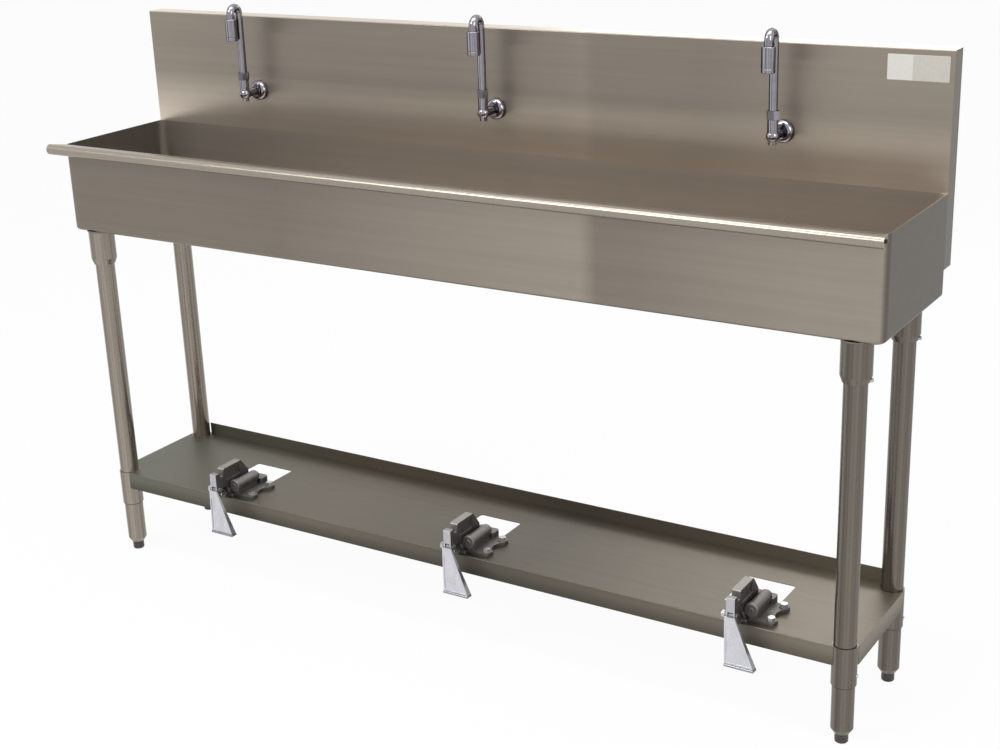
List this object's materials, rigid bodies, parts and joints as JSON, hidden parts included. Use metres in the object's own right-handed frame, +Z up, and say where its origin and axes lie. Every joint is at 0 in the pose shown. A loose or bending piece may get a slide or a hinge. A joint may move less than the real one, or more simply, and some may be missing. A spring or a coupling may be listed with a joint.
{
  "type": "hand wash sink",
  "caption": "Free-standing stainless steel trough sink with a high backsplash, gooseneck faucets, tube legs and an undershelf that carries toe-pedal valves.",
  "frame": {"origin": "on the floor, under the middle of the overall box", "axes": "+X to the right along the trough, +Y towards the wall, +Z up"},
  "size_m": [1.843, 0.384, 1.232],
  "materials": {
    "stainless_sheet": "brushed along the length, satin",
    "stainless_tube": "satin polished tube",
    "drain_steel": "turned, satin",
    "foot_metal": "dark, semi-matt",
    "faucet_chrome": "polished plating",
    "valve_casting": "rough grey casting",
    "pedal_chrome": "bright plating over a casting",
    "bright_steel": "bright turned steel",
    "black_rubber": "matt"
  },
  "bodies": {
    "root": {"bowl": "stainless_sheet", "rolled_rim": "stainless_sheet", "backsplash": "stainless_sheet", "undershelf": "stainless_sheet", "leg_channel_left": "stainless_sheet", "leg_channel_right": "stainless_sheet", "leg_front_left": "stainless_tube", "leg_front_right": "stainless_tube", "leg_rear_left": "stainless_tube", "leg_rear_right": "stainless_tube", "leg_gusset_front_left": "stainless_tube", "leg_gusset_front_right": "stainless_tube", "leg_gusset_rear_left": "stainless_tube", "leg_gusset_rear_right": "stainless_tube", "shelf_socket_front_left": "stainless_tube", "shelf_socket_front_right": "stainless_tube", "shelf_socket_rear_left": "stainless_tube", "shelf_socket_rear_right": "stainless_tube", "leg_inserts": "stainless_tube", "drain_body": "drain_steel", "drain_locknut": "drain_steel", "faucet_flange_1": "faucet_chrome", "faucet_flange_2": "faucet_chrome", "faucet_flange_3": "faucet_chrome", "faucet_body_1": "faucet_chrome", "faucet_body_2": "faucet_chrome", "faucet_body_3": "faucet_chrome", "coupling_nut_1": "faucet_chrome", "coupling_nut_2": "faucet_chrome", "coupling_nut_3": "faucet_chrome", "faucet_locknuts": "faucet_chrome", "valve_body_1": "valve_casting", "valve_body_2": "valve_casting", "valve_body_3": "valve_casting", "valve_caps": "valve_casting", "valve_bonnets": "bright_steel", "hinge_pins": "bright_steel", "hinge_nuts": "bright_steel", "valve_bolts": "bright_steel", "gusset_screws": "bright_steel", "shelf_screws": "bright_steel", "drain_gasket": "black_rubber", "faucet_washers": "black_rubber"},
    "pedal_1": {"pedal_1": "pedal_chrome"},
    "plunger_1": {"plunger_1": "bright_steel"},
    "spout_1": {"spout_1": "faucet_chrome", "outlet_head_1": "faucet_chrome"},
    "pedal_2": {"pedal_2": "pedal_chrome"},
    "plunger_2": {"plunger_2": "bright_steel"},
    "spout_2": {"spout_2": "faucet_chrome", "outlet_head_2": "faucet_chrome"},
    "pedal_3": {"pedal_3": "pedal_chrome"},
    "plunger_3": {"plunger_3": "bright_steel"},
    "spout_3": {"spout_3": "faucet_chrome", "outlet_head_3": "faucet_chrome"},
    "foot_front_left": {"foot_front_left": "foot_metal"},
    "foot_front_right": {"foot_front_right": "foot_metal"},
    "foot_rear_left": {"foot_rear_left": "foot_metal"},
    "foot_rear_right": {"foot_rear_right": "foot_metal"},
    "strainer": {"strainer_basket": "drain_steel"}
  },
  "joints": [
    {"name": "pedal_1_press", "type": "hinge", "parent": "root", "child": "pedal_1", "pos_m": [-0.5546, -0.1675, 0.226], "axis": [1, 0, 0], "range_deg": [0, 15], "stiffness_Nm_per_rad": 4, "springref_deg": -11.46},
    {"name": "plunger_1_travel", "type": "slide", "parent": "root", "child": "plunger_1", "axis": [0, 1, 0], "range_m": [0, 0.0046]},
    {"name": "pedal_2_press", "type": "hinge", "parent": "root", "child": "pedal_2", "pos_m": [0.055, -0.1675, 0.226], "axis": [1, 0, 0], "range_deg": [0, 15], "stiffness_Nm_per_rad": 4, "springref_deg": -11.46},
    {"name": "plunger_2_travel", "type": "slide", "parent": "root", "child": "plunger_2", "axis": [0, 1, 0], "range_m": [0, 0.0046]},
    {"name": "pedal_3_press", "type": "hinge", "parent": "root", "child": "pedal_3", "pos_m": [0.6646, -0.1675, 0.226], "axis": [1, 0, 0], "range_deg": [0, 15], "stiffness_Nm_per_rad": 4, "springref_deg": -11.46},
    {"name": "plunger_3_travel", "type": "slide", "parent": "root", "child": "plunger_3", "axis": [0, 1, 0], "range_m": [0, 0.0046]},
    {"name": "spout_1_swivel", "type": "hinge", "parent": "root", "child": "spout_1", "pos_m": [-0.6096, 0.1024, 1.04], "axis": [0, 0, 1], "range_deg": [-135, 135]},
    {"name": "spout_2_swivel", "type": "hinge", "parent": "root", "child": "spout_2", "pos_m": [0, 0.1024, 1.04], "axis": [0, 0, 1], "range_deg": [-135, 135]},
    {"name": "spout_3_swivel", "type": "hinge", "parent": "root", "child": "spout_3", "pos_m": [0.6096, 0.1024, 1.04], "axis": [0, 0, 1], "range_deg": [-135, 135]},
    {"name": "foot_front_left_adjust", "type": "slide", "parent": "root", "child": "foot_front_left", "axis": [0, 0, -1], "range_m": [0, 0.025]},
    {"name": "foot_front_right_adjust", "type": "slide", "parent": "root", "child": "foot_front_right", "axis": [0, 0, -1], "range_m": [0, 0.025]},
    {"name": "foot_rear_left_adjust", "type": "slide", "parent": "root", "child": "foot_rear_left", "axis": [0, 0, -1], "range_m": [0, 0.025]},
    {"name": "foot_rear_right_adjust", "type": "slide", "parent": "root", "child": "foot_rear_right", "axis": [0, 0, -1], "range_m": [0, 0.025]},
    {"name": "strainer_lift", "type": "slide", "parent": "root", "child": "strainer", "axis": [0, 0, 1], "range_m": [0, 0.05]}
  ],
  "couplings": [
    {"joint": "plunger_1_travel", "follows": "pedal_1_press", "m_per_rad": 0.017},
    {"joint": "plunger_2_travel", "follows": "pedal_2_press", "m_per_rad": 0.017},
    {"joint": "plunger_3_travel", "follows": "pedal_3_press", "m_per_rad": 0.017}
  ]
}
